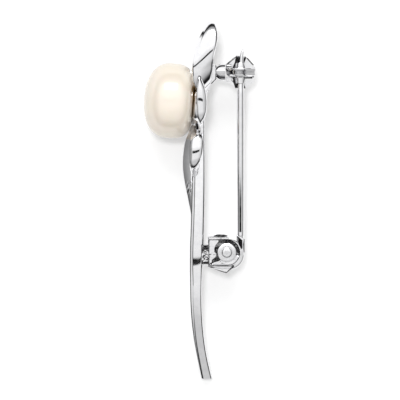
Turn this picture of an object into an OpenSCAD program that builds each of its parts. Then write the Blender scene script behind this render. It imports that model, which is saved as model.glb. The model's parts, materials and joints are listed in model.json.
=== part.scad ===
// A pearl brooch lying on its side: a figure-eight ribbon of polished silver with a long stem,
// a button pearl pegged in a cup, and a pin with its hinge and its turning safety catch.
// Millimetres. X runs from the pearl to the pin at the back, Y runs up the brooch, and Z is up.
// Places are given from the brooch's own middle plane, as x, y and w, where w is the side-to-side way.

/* [Pearl] */
// Diameter of the pearl across its girdle
pearl_d = 10.6; // [10.2:0.1:10.8]
// Depth of the pearl in front of its girdle
pearl_front = 3.55; // [3.2:0.05:4.2]
// Depth of the pearl behind its girdle
pearl_back = 3.6; // [3.4:0.05:3.65]
// How far the pearl and its cup face up the brooch, in degrees
pearl_tilt = 4; // [2:0.5:5]

/* [Cup] */
// Outer radius of the cup
cup_r = 3.4; // [3.2:0.05:3.6]
// Depth of the cup's rounded back
cup_depth = 1.4; // [1.2:0.05:1.6]
// Radius of the peg that the pearl is glued on
peg_r = 0.42; // [0.35:0.01:0.48]
// Radius of the hole drilled in the pearl
pearl_hole_r = 0.5; // [0.5:0.01:0.6]

/* [Pin] */
// Radius of the pin's wire along its straight length
wire_r = 0.52; // [0.48:0.01:0.54]
// Radius of the wire where the catch holds it
wire_catch_r = 0.45; // [0.4:0.01:0.47]
// Thickness of the pin's flat eye
eye_t = 1.1; // [1:0.05:1.15]

/* [Hinge] */
// Radius of the ears round the rivet
ear_r = 1.95; // [1.8:0.05:2]
// Thickness of one ear
ear_t = 0.6; // [0.5:0.05:0.7]
// Clear width between the ears
ear_gap = 1.25; // [1.25:0.01:1.3]
// Radius of the rivet's shank
rivet_r = 0.5; // [0.45:0.01:0.5]
// Radius of the rivet's heads
rivet_head_r = 1.35; // [1.2:0.05:1.45]

/* [Catch] */
// Outer radius of the open ring
ring_r = 2.13; // [2.05:0.01:2.2]
// Inner radius of the open ring
ring_bore_r = 1.57; // [1.57:0.01:1.62]
// Width of the open ring along the pin
ring_w = 1.12; // [1.05:0.01:1.2]
// Width of the ring's mouth and of the rotor's slot
mouth_w = 1.12; // [1.05:0.01:1.2]
// Radius of the rotor's barrel inside the ring
barrel_r = 1.5; // [1.45:0.01:1.5]
// Angle of the lever from the mouth towards the upper side, in degrees
lever_angle = 62; // [58:1:66]

/* [Hidden] */
$fn = 96;

SILVER = "#d8d9da";
STEEL_WHITE = "#cfd1d3";
PEARL_IVORY = "#f1e8d8";

// Height of the middle plane: the pearl's girdle touches the surface that the brooch lies on.
mid_z = pearl_d / 2;
gap = 0.05;

pearl_at = [-4.57, 14.3];
hinge_at = [3.62, -7.21];
pin_x = 5.58;
catch_y = 18.25;

// Columns of the ribbon tables, a row for each station along a strand.
// The front and back edges are x, y and w, TH is the thickness between the faces and FRONT the width
// of the narrow front, whose sides lean in.
FX = 0; FY = 1; FW = 2;
BX = 3; BY = 4; BW = 5;
TH = 6; FRONT = 7;

// The long ribbon: tail tip, stem, behind the pearl, far side of the upper loop, top, near side, crossing.
LONG_RIBBON = [
    // fx      fy      fw      bx     by      bw     th    front
    [ 0.00, -25.25,  -4.61,   1.57, -25.25,  -4.61,  1.50, 0.30],
    [-0.55, -22.50,  -3.45,   0.93, -22.50,  -3.45,  1.60, 0.35],
    [-1.06, -19.65,  -2.35,   0.47, -19.65,  -2.35,  1.70, 0.40],
    [-1.37, -16.80,  -1.40,   0.19, -16.80,  -1.40,  1.80, 0.45],
    [-1.55, -14.00,  -0.66,   0.05, -14.00,  -0.70,  1.85, 0.45],
    [-1.60, -11.30,  -0.10,   0.06, -11.30,  -0.20,  1.90, 0.45],
    [-1.60,  -9.05,   0.06,   0.16,  -9.05,   0.07,  1.90, 0.45],
    [-1.57,  -6.20,   0.00,   0.30,  -6.20,   0.00,  1.90, 0.45],
    [-1.41,  -1.90,  -0.20,   0.42,  -1.90,  -0.20,  1.90, 0.45],
    [-1.30,   3.00,  -0.50,   0.50,   3.00,  -0.50,  1.90, 0.45],
    [-1.20,   7.30,  -0.75,   0.50,   7.30,  -0.75,  1.80, 0.40],
    [-1.00,  10.60,  -0.95,   0.48,  10.60,  -0.95,  1.60, 0.35],
    [-0.70,  12.60,  -1.30,   0.50,  12.90,  -1.25,  1.40, 0.30],
    [-0.50,  14.40,  -2.00,   0.60,  15.00,  -1.80,  1.20, 0.25],
    [-0.55,  15.90,  -3.10,   0.95,  16.90,  -2.80,  1.10, 0.25],
    [-1.00,  17.40,  -4.20,   1.35,  19.00,  -4.10,  1.05, 0.25],
    [-1.15,  19.20,  -4.77,   1.80,  21.30,  -4.77,  1.05, 0.25],
    [-0.88,  21.40,  -4.50,   2.22,  22.75,  -4.35,  1.05, 0.25],
    [-0.32,  23.30,  -3.60,   2.25,  24.10,  -3.45,  1.00, 0.25],
    [ 0.20,  24.20,  -1.90,   2.12,  24.85,  -1.80,  0.95, 0.25],
    [ 0.48,  24.48,   0.00,   2.00,  25.05,   0.00,  0.95, 0.25],
    [ 0.50,  24.52,   1.90,   2.00,  25.08,   1.90,  0.95, 0.28],
    [ 0.50,  24.54,   2.75,   2.00,  25.10,   2.75,  0.95, 0.32],
    [ 0.46,  24.50,   3.15,   2.03,  25.06,   3.15,  0.95, 0.36],
    [ 0.36,  24.30,   3.45,   2.08,  24.88,   3.45,  0.95, 0.42],
    [ 0.16,  23.88,   3.78,   2.16,  24.50,   3.78,  0.95, 0.50],
    [-0.10,  23.35,   4.02,   2.22,  24.05,   4.05,  0.95, 0.55],
    [-0.42,  22.65,   4.18,   2.27,  23.50,   4.25,  1.00, 0.65],
    [-0.76,  21.75,   4.32,   2.27,  22.85,   4.43,  1.00, 0.70],
    [-1.02,  20.50,   4.46,   2.14,  21.95,   4.53,  1.05, 0.75],
    [-1.20,  19.30,   4.55,   1.95,  21.10,   4.50,  1.05, 0.75],
    [-1.25,  18.30,   4.52,   1.75,  20.30,   4.38,  1.05, 0.75],
    [-1.22,  17.50,   4.36,   1.58,  19.55,   4.15,  1.05, 0.65],
    [-1.05,  16.50,   4.02,   1.42,  18.40,   3.80,  1.05, 0.45],
    [-0.75,  15.50,   3.20,   1.25,  17.20,   3.05,  1.05, 0.30],
    [-0.45,  14.90,   1.70,   0.95,  16.20,   1.60,  1.05, 0.25],
];

// The ribbon's end after the crossing: out on the far side below the pearl, and into the stem's front.
FRONT_STRAND = [
    // fx      fy      fw      bx     by      bw     th    front
    [-0.40,  14.60,   0.00,   0.60,  15.00,   0.00,  1.00, 0.20],
    [-0.45,  13.40,  -1.30,   0.55,  13.90,  -1.40,  1.00, 0.20],
    [-0.75,  11.90,  -2.70,   0.20,  12.00,  -2.35,  1.00, 0.20],
    [-1.60,  10.20,  -3.46,  -0.35,  10.20,  -2.76,  1.00, 0.20],
    [-2.20,   8.70,  -3.76,  -0.80,   8.70,  -2.99,  1.00, 0.20],
    [-2.48,   7.00,  -3.86,  -0.95,   7.00,  -3.02,  1.00, 0.20],
    [-2.58,   5.20,  -3.72,  -0.95,   5.20,  -2.82,  1.00, 0.20],
    [-2.42,   3.40,  -3.20,  -0.95,   3.40,  -2.39,  0.95, 0.18],
    [-2.10,   1.70,  -2.47,  -0.90,   1.70,  -1.81,  0.90, 0.16],
    [-1.76,   0.10,  -1.68,  -0.80,   0.10,  -1.15,  0.85, 0.14],
    [-1.46,  -1.50,  -0.92,  -0.75,  -1.50,  -0.55,  0.75, 0.12],
    [-1.22,  -3.10,  -0.30,  -0.60,  -3.10,  -0.20,  0.55, 0.10],
];

// The short strand that swells out on the near side below the pearl and comes back onto the stem.
NEAR_STRAND = [
    // fx      fy      fw      bx     by      bw     th    front
    [-0.75,  10.30,   0.20,   0.20,  10.30,   0.20,  0.90, 0.20],
    [-1.05,   9.85,   1.20,   0.22,   9.85,   1.20,  0.95, 0.20],
    [-1.35,   9.45,   2.05,   0.27,   9.45,   2.05,  1.00, 0.25],
    [-1.50,   8.80,   2.66,   0.30,   8.80,   2.66,  1.00, 0.25],
    [-1.58,   7.80,   2.92,   0.27,   7.90,   2.92,  1.00, 0.25],
    [-1.60,   6.90,   2.95,   0.20,   7.10,   2.95,  1.00, 0.25],
    [-1.60,   5.90,   2.84,   0.05,   6.30,   2.87,  1.00, 0.25],
    [-1.56,   4.90,   2.44,  -0.25,   5.50,   2.50,  0.90, 0.20],
    [-1.38,   4.10,   1.50,  -0.50,   4.90,   1.50,  0.75, 0.15],
    [-1.12,   3.40,   0.05,  -0.62,   4.30,   0.15,  0.55, 0.10],
];

// The strap that passes over the near side of the crossing, from the loop down towards the swelling strand.
NEAR_STRAP = [
    // fx      fy      fw      bx     by      bw     th    front
    [-0.55,  18.30,   3.50,  -0.30,  18.30,   3.50,  0.80, 0.08],
    [-0.50,  17.50,   4.28,  -0.15,  17.50,   4.26,  0.95, 0.10],
    [-0.60,  16.40,   4.60,   0.25,  16.60,   4.50,  1.00, 0.12],
    [-0.65,  15.30,   4.71,   0.60,  15.50,   4.55,  1.00, 0.12],
    [-0.65,  14.20,   4.73,   0.79,  14.20,   4.54,  1.00, 0.12],
    [-0.60,  13.10,   4.60,   0.76,  13.00,   4.43,  1.00, 0.12],
    [-0.53,  12.00,   4.28,   0.54,  11.90,   4.18,  1.00, 0.12],
    [-0.40,  11.10,   3.60,   0.12,  11.10,   3.60,  0.90, 0.10],
    [-0.35,  10.40,   2.55,  -0.05,  10.40,   2.55,  0.80, 0.08],
    [-0.40,   9.90,   1.50,  -0.10,   9.90,   1.50,  0.70, 0.08],
];

// How far a narrow front's sides lean in (wider fronts lean less), the cut at its corners as depth and side,
// and the cut at the back's.
front_lean = 22;
narrow_front = 0.45;
front_cut = [0.14, 0.12];
front_cut_share = 0.6;
back_cut = 0.16;

function knot(rows, i) = rows[max(0, min(len(rows) - 1, i))];
function blend_rows(a, b, c, d, t) =
    0.5 * (2 * b + (c - a) * t + (2 * a - 5 * b + 4 * c - d) * t * t + (3 * b - a - 3 * c + d) * t * t * t);
function smooth_rows(rows, n) = concat(
    [for (i = [0 : len(rows) - 2], k = [0 : n - 1])
        blend_rows(knot(rows, i - 1), rows[i], rows[i + 1], knot(rows, i + 2), k / n)],
    [rows[len(rows) - 1]]);

function unit(v) = v / norm(v);
function front_of(r) = [r[FX], r[FY], r[FW]];
function back_of(r) = [r[BX], r[BY], r[BW]];
function middle_of(r) = (front_of(r) + back_of(r)) / 2;
function heading(rows, i) = unit(middle_of(knot(rows, i + 1)) - middle_of(knot(rows, i - 1)));

// One section: a leaning front, flat faces and a flat back, all with cut corners, as [depth, side] pairs.
function section_shape(depth, half, front) =
    let (cut = min(front_cut[0], front * front_cut_share),
         lean = tan(front_lean) * min(1, pow(narrow_front / front, 2)),
         flat = half - (front - cut) * lean,
         nose = flat - front_cut[1] * cut / front_cut[0])
    [[front, -half], [cut, -flat], [0, -nose], [0, nose], [cut, flat], [front, half],
     [depth - back_cut, half], [depth, half - back_cut], [depth, back_cut - half], [depth - back_cut, -half]];

function placed_section(r, dir) =
    let (across = unit(back_of(r) - front_of(r)), side = unit(cross(dir, across)),
         depth = norm(back_of(r) - front_of(r)))
    [for (p = section_shape(depth, r[TH] / 2, r[FRONT])) front_of(r) + across * p[0] + side * p[1]];

// A closed solid through the sections of a table's smoothed rows.
module strand(table, per_row) {
    rows = smooth_rows(table, per_row);
    rings = [for (i = [0 : len(rows) - 1]) placed_section(rows[i], heading(rows, i))];
    m = len(rings[0]);
    n = len(rings);
    sides = [for (i = [0 : n - 2], j = [0 : m - 1], half = [0, 1])
        let (a = i * m + j, b = i * m + (j + 1) % m)
        half == 0 ? [a, b, b + m] : [a, b + m, a + m]];
    first_cap = [for (j = [1 : m - 2]) [0, j + 1, j]];
    last_cap = [for (j = [1 : m - 2]) [(n - 1) * m, (n - 1) * m + j, (n - 1) * m + j + 1]];
    polyhedron(points = [for (ring = rings, p = ring) p], faces = concat(sides, first_cap, last_cap));
}

// Depth of a superellipse at radius r, from its full depth and radius.
function bulge(r, radius, depth, power) =
    depth * pow(max(0, 1 - pow(r / radius, power)), 1 / power);

// Puts children, drawn round Z with the pearl's front at -Z, on the pearl's own axis.
module on_pearl_axis() {
    translate([pearl_at[0], pearl_at[1], 0]) rotate([0, 0, -pearl_tilt]) rotate([0, 90, 0]) children();
}

front_power = 2.25;
back_power = 3.3;
peg_end = -0.9;
hole_end = -1.1;
profile_steps = 12;

function pearl_outline() = let (r = pearl_d / 2) concat(
    [for (i = [0 : profile_steps]) let (q = r * sin(90 * i / profile_steps))
        [q, -bulge(q, r, pearl_front, front_power)]],
    [for (i = [profile_steps - 1 : -1 : 0]) let (q = r * sin(90 * i / profile_steps))
        [q, bulge(q, r, pearl_back, back_power)]]);

// The cup's seat follows the pearl's back at a small gap, out to its thin rim.
seat_gap = 0.14;
peg_overlap = 0.3;
rim_r = 3.0;
lip_r = 3.15;
shoulder = 0.4;
cup_power = 2.7;
cup_steps = 10;

function seat(r) = bulge(r, pearl_d / 2, pearl_back, back_power) + seat_gap;
cup_start = seat(lip_r) + shoulder;
function cup_outline() = concat(
    [for (i = [0 : 4]) let (q = rim_r * i / 4) [q, seat(q)]],
    [[lip_r, seat(lip_r)]],
    [for (i = [0 : cup_steps]) let (q = cup_r * cos(90 * i / cup_steps))
        [q, cup_start + bulge(q, cup_r, cup_depth, cup_power)]]);

module pearl() {
    color(PEARL_IVORY) translate([0, 0, mid_z]) on_pearl_axis() difference() {
        rotate_extrude() polygon(pearl_outline());
        translate([0, 0, hole_end]) cylinder(r = pearl_hole_r, h = pearl_back - hole_end + 1);
    }
}

module cup() {
    on_pearl_axis() {
        rotate_extrude() polygon(cup_outline());
        translate([0, 0, peg_end]) cylinder(r = peg_r, h = seat(0) + peg_overlap - peg_end);
    }
}

// Extrudes a side view, drawn in x and y, to both sides of the middle plane.
module both_sides(half) {
    translate([0, 0, -half]) linear_extrude(height = 2 * half) children();
}

// Hinge: a pad on the stem's back, two ears, a roof over the eye and a lip that stops the open pin.
bracket_left = 0.95;
pad_right = 1.05;
pad_from = -8.95;
pad_h = 2.85;
roof_top = 2.56;
roof_bottom = 2.11;
roof_right = 0.1;
roof_corner = 0.3;
roof_end_corner = [0.5, 0.18];
lip_stop_r = 2.61;
lip_t = 0.42;
lip_slope = -22;
lip_start = -1.75;
lip_end = 0.8;
ear_outer = ear_gap / 2 + ear_t;
ear_hole_r = rivet_r + 0.03;

function roof_outline() = let (left = bracket_left - hinge_at[0])
    [[left, 0], [left, roof_top - roof_corner], [left + roof_corner, roof_top],
     [roof_right - roof_end_corner[0], roof_top], [roof_right, roof_top - roof_end_corner[1]],
     [roof_right, roof_bottom], [left + roof_corner, roof_bottom]];

module ear_outline() {
    difference() {
        union() {
            circle(r = ear_r);
            translate([bracket_left - hinge_at[0], -ear_r])
                square([hinge_at[0] - bracket_left, ear_r + roof_bottom]);
            polygon(roof_outline());
        }
        circle(r = ear_hole_r);
    }
}

module bracket() {
    translate([hinge_at[0], hinge_at[1], 0]) {
        for (side = [-1, 1]) translate([0, 0, side * (ear_gap + ear_t) / 2])
            both_sides(ear_t / 2) ear_outline();
        both_sides(ear_outer) polygon(roof_outline());
        both_sides(ear_outer) rotate(lip_slope) translate([lip_start, -lip_stop_r - lip_t])
            square([lip_end - lip_start, lip_t]);
    }
    both_sides(ear_outer) translate([0, pad_from]) square([pad_right, pad_h]);
}

// Catch: a web in the crotch of the upper loop, a neck, and the open ring round the rotor.
neck_left = 1.72;
neck_h = 2.34;
neck_half = 0.9;
web_half = 1.1;
WEB = [[0.2, 15.4], [0.85, 16.2], [1.5, 16.7], [2.1, 17.3],
       [2.1, 19.3], [1.5, 19.5], [0.7, 17.8], [0.1, 16.4]];
rotor_clear = 0.07;
lever_slot_h = 0.54;
slot_from = 40;
slot_to = 176;
ring_overlap = 0.3;

// Turns children, drawn round Z, onto the catch's axis: angles run from +X towards the upper side.
module on_catch_axis() {
    translate([pin_x, catch_y, 0]) rotate([90, 0, 0]) children();
}

// A wedge from one angle to another, for cutting sectors out of round pieces.
module sector(from, to, r, h) {
    translate([0, 0, -h / 2]) linear_extrude(height = h)
        polygon(concat([[0, 0]], [for (i = [0 : 4]) let (a = from + (to - from) * i / 4) r * [cos(a), sin(a)]]));
}

module neck() {
    both_sides(web_half) polygon(WEB);
    neck_r = neck_h / 2;
    reach = pin_x - ring_r - rotor_clear - neck_left - neck_r;
    translate([neck_left + neck_r, catch_y, 0]) both_sides(neck_half) {
        intersection() {
            circle(r = neck_r);
            translate([-neck_r, -neck_r]) square([neck_r + reach, neck_h]);
        }
        translate([0, -neck_r]) square([reach, neck_h]);
        translate([0, -ring_w / 2]) square([reach + ring_overlap, ring_w]);
    }
}

module open_ring() {
    on_catch_axis() difference() {
        cylinder(r = ring_r, h = ring_w, center = true);
        cylinder(r = ring_bore_r, h = ring_w + 1, center = true);
        translate([0, -mouth_w / 2, -ring_w]) cube([ring_r + 1, mouth_w, 2 * ring_w]);
        intersection() {
            cylinder(r = ring_r + 1, h = lever_slot_h, center = true);
            sector(slot_from, slot_to, 2 * ring_r + 2, ring_w);
        }
    }
}

module frame() {
    color(SILVER) translate([0, 0, mid_z]) {
        strand(LONG_RIBBON, 3);
        strand(FRONT_STRAND, 3);
        strand(NEAR_STRAND, 3);
        strand(NEAR_STRAP, 3);
        cup();
        bracket();
        neck();
        open_ring();
    }
}

// The pin: an eccentric flat eye on the rivet, a square shank and a straight wire that thins to its point.
eye_r = 2.15;
eye_shift = [0.3, -0.25];
eye_hole_r = rivet_r + 0.05;
shank_half = 0.55;
shank_top = -4.9;
taper_from = 14.5;
taper_to = 16.2;
point_from = 20.4;
tip_y = 21.63;
tip_r = 0.06;

// A round length of the pin between two heights, with its radius at each.
module wire(y0, y1, r0, r1) {
    translate([pin_x, y0, 0]) rotate([-90, 0, 0]) cylinder(r1 = r0, r2 = r1, h = y1 - y0);
}

module pin_stem() {
    color(STEEL_WHITE) translate([0, 0, mid_z]) {
        difference() {
            union() {
                translate([hinge_at[0] + eye_shift[0], hinge_at[1] + eye_shift[1], 0])
                    cylinder(r = eye_r, h = eye_t, center = true);
                translate([pin_x, hinge_at[1], 0]) both_sides(eye_t / 2)
                    translate([-shank_half, 0]) square([2 * shank_half, shank_top - hinge_at[1]]);
                wire(shank_top, taper_from, wire_r, wire_r);
            }
            translate([hinge_at[0], hinge_at[1], 0]) cylinder(r = eye_hole_r, h = eye_t + 1, center = true);
        }
        wire(taper_from, taper_to, wire_r, wire_catch_r);
        wire(taper_to, point_from, wire_catch_r, wire_catch_r);
        wire(point_from, tip_y, wire_catch_r, tip_r);
    }
}

// The rivet: a plain shank with a wide low head at each end and a small dome on it.
head_t = 0.2;
button_r = 0.66;
button_end_r = 0.46;
button_t = 0.16;

module hinge_rivet() {
    half = ear_outer + gap;
    color(SILVER) translate([hinge_at[0], hinge_at[1], mid_z]) {
        cylinder(r = rivet_r, h = 2 * half + head_t, center = true);
        for (side = [0, 1]) mirror([0, 0, side]) translate([0, 0, half]) {
            cylinder(r = rivet_head_r, h = head_t);
            translate([0, 0, head_t]) cylinder(r1 = button_r, r2 = button_end_r, h = button_t);
        }
    }
}

// The rotor: a barrel in the ring, a round shoulder and a cone at each end, and the lever.
// Heights are from the ring's middle, up the pin first and then down it.
rotor_hole_r = 0.58;
disc_r = 2.1;
disc_from = ring_w / 2 + gap;
DISC_TO = [0.95, 1.13];
CONE_TO = [2.45, 2.12];
CONE_END_R = [0.66, 0.76];
HUB_TO = [1.45, 1.50];
hub_r = 1.0;
hub_end_r = 0.74;
mouth_from = -90;
mouth_to = 125;
lever_t = 0.44;
lever_half_angle = 13;
tab_t = 0.9;
tab_from = 2.28;
tab_to = 3.1;
lever_overlap = [0.3, 0.1];
cut_h = 8;

module rotor_end(k) {
    difference() {
        rotate_extrude() polygon([
            [0, 0], [barrel_r - gap, 0], [barrel_r - gap, disc_from], [disc_r, disc_from],
            [disc_r, DISC_TO[k]], [CONE_END_R[k], CONE_TO[k]], [0, CONE_TO[k]]]);
        translate([0, 0, CONE_TO[k] / 2]) intersection() {
            sector(mouth_from, mouth_to, 3 * disc_r, CONE_TO[k] + 1);
            translate([-2 * disc_r, -mouth_w / 2, -CONE_TO[k]]) cube([4 * disc_r, 3 * disc_r, 2 * CONE_TO[k]]);
        }
    }
    translate([0, 0, disc_from]) cylinder(r1 = hub_r, r2 = hub_end_r, h = HUB_TO[k] - disc_from);
}

// A slice of a round flat piece about the lever's own angle.
module lever_slice(r0, r1, t) {
    intersection() {
        difference() {
            cylinder(r = r1, h = t, center = true);
            cylinder(r = r0, h = t + 1, center = true);
        }
        sector(lever_angle - lever_half_angle, lever_angle + lever_half_angle, 2 * r1, t + 2);
    }
}

module catch_rotor() {
    color(SILVER) translate([0, 0, mid_z]) on_catch_axis() difference() {
        union() {
            cylinder(r = barrel_r, h = 2 * disc_from, center = true);
            mirror([0, 0, 1]) rotor_end(0);
            rotor_end(1);
            lever_slice(barrel_r - lever_overlap[0], tab_from + lever_overlap[1], lever_t);
            lever_slice(tab_from, tab_to, tab_t);
        }
        cylinder(r = rotor_hole_r, h = cut_h, center = true);
        translate([0, -mouth_w / 2, -cut_h / 2]) cube([disc_r + 1, mouth_w, cut_h]);
    }
}

frame();
pearl();
pin_stem();
hinge_rivet();
catch_rotor();
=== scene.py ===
"""Dresses a pearl brooch: ribbon, button pearl in its cup, riveted hinge, pin and turning catch."""
import json
import math

import bmesh
import bpy
from bpy.props import FloatProperty, PointerProperty, StringProperty
from mathutils import Matrix, Vector, noise


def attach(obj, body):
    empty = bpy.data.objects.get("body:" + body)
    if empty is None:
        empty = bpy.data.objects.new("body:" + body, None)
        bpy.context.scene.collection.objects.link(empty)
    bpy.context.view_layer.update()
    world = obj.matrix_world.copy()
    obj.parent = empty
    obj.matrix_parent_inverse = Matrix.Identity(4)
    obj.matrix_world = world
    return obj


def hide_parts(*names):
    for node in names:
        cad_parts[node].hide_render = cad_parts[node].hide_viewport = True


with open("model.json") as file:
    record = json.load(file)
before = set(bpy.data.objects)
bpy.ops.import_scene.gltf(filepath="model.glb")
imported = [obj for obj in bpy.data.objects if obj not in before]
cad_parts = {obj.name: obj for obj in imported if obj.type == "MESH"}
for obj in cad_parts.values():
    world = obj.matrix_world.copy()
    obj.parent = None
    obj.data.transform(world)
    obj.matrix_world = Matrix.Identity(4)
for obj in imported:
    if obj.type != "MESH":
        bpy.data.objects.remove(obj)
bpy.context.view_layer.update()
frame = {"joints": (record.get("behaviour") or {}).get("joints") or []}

bl_info = {
    "name": "Pearl Brooch",
    "version": (1, 0, 0),
    "blender": (4, 5, 0),
    "location": "3D View > Sidebar > Brooch",
    "description": "Builds a ribbon brooch with a button pearl, a riveted hinge, a pin and a safety catch",
    "category": "Object",
}

MM = 0.001
# Sizes in millimetres that differ by less than this are the same, and points this close are welded.
SAME = 1e-6
WELD = 0.0005

# Places are in millimetres: x towards the pin, y up the brooch, and w from its middle plane to the camera.
JOINTS = {joint["name"]: Vector(joint["pos_m"]) / MM for joint in frame["joints"]}
MID_Z = JOINTS["pin_hinge"].z
RIVET = Vector((JOINTS["pin_hinge"].x, JOINTS["pin_hinge"].y, 0.0))
CATCH = Vector((JOINTS["catch_lock"].x, JOINTS["catch_lock"].y, 0.0))
PIN_X = CATCH.x
PEARL_AT = Vector((-4.57, 14.3, 0.0))
PEARL_TILT = math.radians(4.0)

# The camera looks straight down from this height above the middle plane, on a square of this width.
EYE_HEIGHT = 340.4
VIEW_WIDTH = 56.74
VIEW_CENTRE = Vector((-0.177, 0.213))
SENSOR = 36.0

# Columns of the ribbon tables, a row for each station along a strand, in millimetres:
# front x, y, w, back x, y, w, thickness between the faces, width of the narrow front, swell of the faces.
LONG_RIBBON = [
    (0.0, -25.25, -4.61, 1.57, -25.25, -4.61, 1.5, 0.3, 0.04),
    (-0.55, -22.5, -3.45, 0.93, -22.5, -3.45, 1.6, 0.35, 0.04),
    (-1.06, -19.65, -2.35, 0.47, -19.65, -2.35, 1.7, 0.4, 0.04),
    (-1.37, -16.8, -1.4, 0.19, -16.8, -1.4, 1.8, 0.45, 0.04),
    (-1.55, -14.0, -0.66, 0.05, -14.0, -0.7, 1.85, 0.45, 0.04),
    (-1.6, -11.3, -0.1, 0.06, -11.3, -0.2, 1.9, 0.45, 0.03),
    (-1.6, -9.05, 0.06, 0.16, -9.05, 0.07, 1.9, 0.45, 0.02),
    (-1.57, -6.2, 0.0, 0.3, -6.2, 0.0, 1.9, 0.45, 0.02),
    (-1.41, -1.9, -0.2, 0.42, -1.9, -0.2, 1.9, 0.45, 0.03),
    (-1.3, 3.0, -0.5, 0.5, 3.0, -0.5, 1.9, 0.45, 0.03),
    (-1.2, 7.3, -0.75, 0.5, 7.3, -0.75, 1.8, 0.4, 0.04),
    (-1.0, 10.6, -0.95, 0.48, 10.6, -0.95, 1.6, 0.35, 0.04),
    (-0.7, 12.6, -1.3, 0.5, 12.9, -1.25, 1.4, 0.3, 0.04),
    (-0.5, 14.4, -2.0, 0.6, 15.0, -1.8, 1.2, 0.25, 0.04),
    (-0.55, 15.9, -3.1, 0.95, 16.9, -2.8, 1.1, 0.25, 0.06),
    (-1.0, 17.4, -4.2, 1.35, 19.0, -4.1, 1.05, 0.25, 0.08),
    (-1.15, 19.2, -4.77, 1.8, 21.3, -4.77, 1.05, 0.25, 0.08),
    (-0.88, 21.4, -4.5, 2.22, 22.75, -4.35, 1.05, 0.25, 0.1),
    (-0.32, 23.3, -3.6, 2.25, 24.1, -3.45, 1.0, 0.25, 0.12),
    (0.2, 24.2, -1.9, 2.12, 24.85, -1.8, 0.95, 0.25, 0.12),
    (0.48, 24.48, 0.0, 2.0, 25.05, 0.0, 0.95, 0.25, 0.12),
    (0.5, 24.52, 1.9, 2.0, 25.08, 1.9, 0.95, 0.28, 0.12),
    (0.5, 24.54, 2.75, 2.0, 25.1, 2.75, 0.95, 0.32, 0.12),
    (0.46, 24.5, 3.15, 2.03, 25.06, 3.15, 0.95, 0.36, 0.12),
    (0.36, 24.3, 3.45, 2.08, 24.88, 3.45, 0.95, 0.42, 0.12),
    (0.16, 23.88, 3.78, 2.16, 24.5, 3.78, 0.95, 0.5, 0.12),
    (-0.1, 23.35, 4.02, 2.22, 24.05, 4.05, 0.95, 0.55, 0.12),
    (-0.42, 22.65, 4.18, 2.27, 23.5, 4.25, 1.0, 0.65, 0.12),
    (-0.76, 21.75, 4.32, 2.27, 22.85, 4.43, 1.0, 0.7, 0.12),
    (-1.02, 20.5, 4.46, 2.14, 21.95, 4.53, 1.05, 0.75, 0.08),
    (-1.2, 19.3, 4.55, 1.95, 21.1, 4.5, 1.05, 0.75, 0.06),
    (-1.25, 18.3, 4.52, 1.75, 20.3, 4.38, 1.05, 0.75, 0.06),
    (-1.22, 17.5, 4.36, 1.58, 19.55, 4.15, 1.05, 0.65, 0.06),
    (-1.05, 16.5, 4.02, 1.42, 18.4, 3.8, 1.05, 0.45, 0.04),
    (-0.75, 15.5, 3.2, 1.25, 17.2, 3.05, 1.05, 0.3, 0.04),
    (-0.45, 14.9, 1.7, 0.95, 16.2, 1.6, 1.05, 0.25, 0.06),
]
FRONT_STRAND = [
    (-0.4, 14.6, 0.0, 0.6, 15.0, 0.0, 1.0, 0.2, 0.04),
    (-0.45, 13.4, -1.3, 0.55, 13.9, -1.4, 1.0, 0.2, 0.04),
    (-0.75, 11.9, -2.7, 0.2, 12.0, -2.35, 1.0, 0.2, 0.03),
    (-1.6, 10.2, -3.46, -0.35, 10.2, -2.76, 1.0, 0.2, 0.02),
    (-2.2, 8.7, -3.76, -0.8, 8.7, -2.99, 1.0, 0.2, 0.01),
    (-2.48, 7.0, -3.86, -0.95, 7.0, -3.02, 1.0, 0.2, 0.01),
    (-2.58, 5.2, -3.72, -0.95, 5.2, -2.82, 1.0, 0.2, 0.01),
    (-2.42, 3.4, -3.2, -0.95, 3.4, -2.39, 0.95, 0.18, 0.01),
    (-2.1, 1.7, -2.47, -0.9, 1.7, -1.81, 0.9, 0.16, 0.01),
    (-1.76, 0.1, -1.68, -0.8, 0.1, -1.15, 0.85, 0.14, 0.01),
    (-1.46, -1.5, -0.92, -0.75, -1.5, -0.55, 0.75, 0.12, 0.01),
    (-1.22, -3.1, -0.3, -0.6, -3.1, -0.2, 0.55, 0.1, 0.02),
]
NEAR_STRAND = [
    (-0.75, 10.3, 0.2, 0.2, 10.3, 0.2, 0.9, 0.2, 0.06),
    (-1.05, 9.85, 1.2, 0.22, 9.85, 1.2, 0.95, 0.2, 0.12),
    (-1.35, 9.45, 2.05, 0.27, 9.45, 2.05, 1.0, 0.25, 0.14),
    (-1.5, 8.8, 2.66, 0.3, 8.8, 2.66, 1.0, 0.25, 0.14),
    (-1.58, 7.8, 2.92, 0.27, 7.9, 2.92, 1.0, 0.25, 0.12),
    (-1.6, 6.9, 2.95, 0.2, 7.1, 2.95, 1.0, 0.25, 0.12),
    (-1.6, 5.9, 2.84, 0.05, 6.3, 2.87, 1.0, 0.25, 0.12),
    (-1.56, 4.9, 2.44, -0.25, 5.5, 2.5, 0.9, 0.2, 0.12),
    (-1.38, 4.1, 1.5, -0.5, 4.9, 1.5, 0.75, 0.15, 0.1),
    (-1.12, 3.4, 0.05, -0.62, 4.3, 0.15, 0.55, 0.1, 0.06),
]
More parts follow.
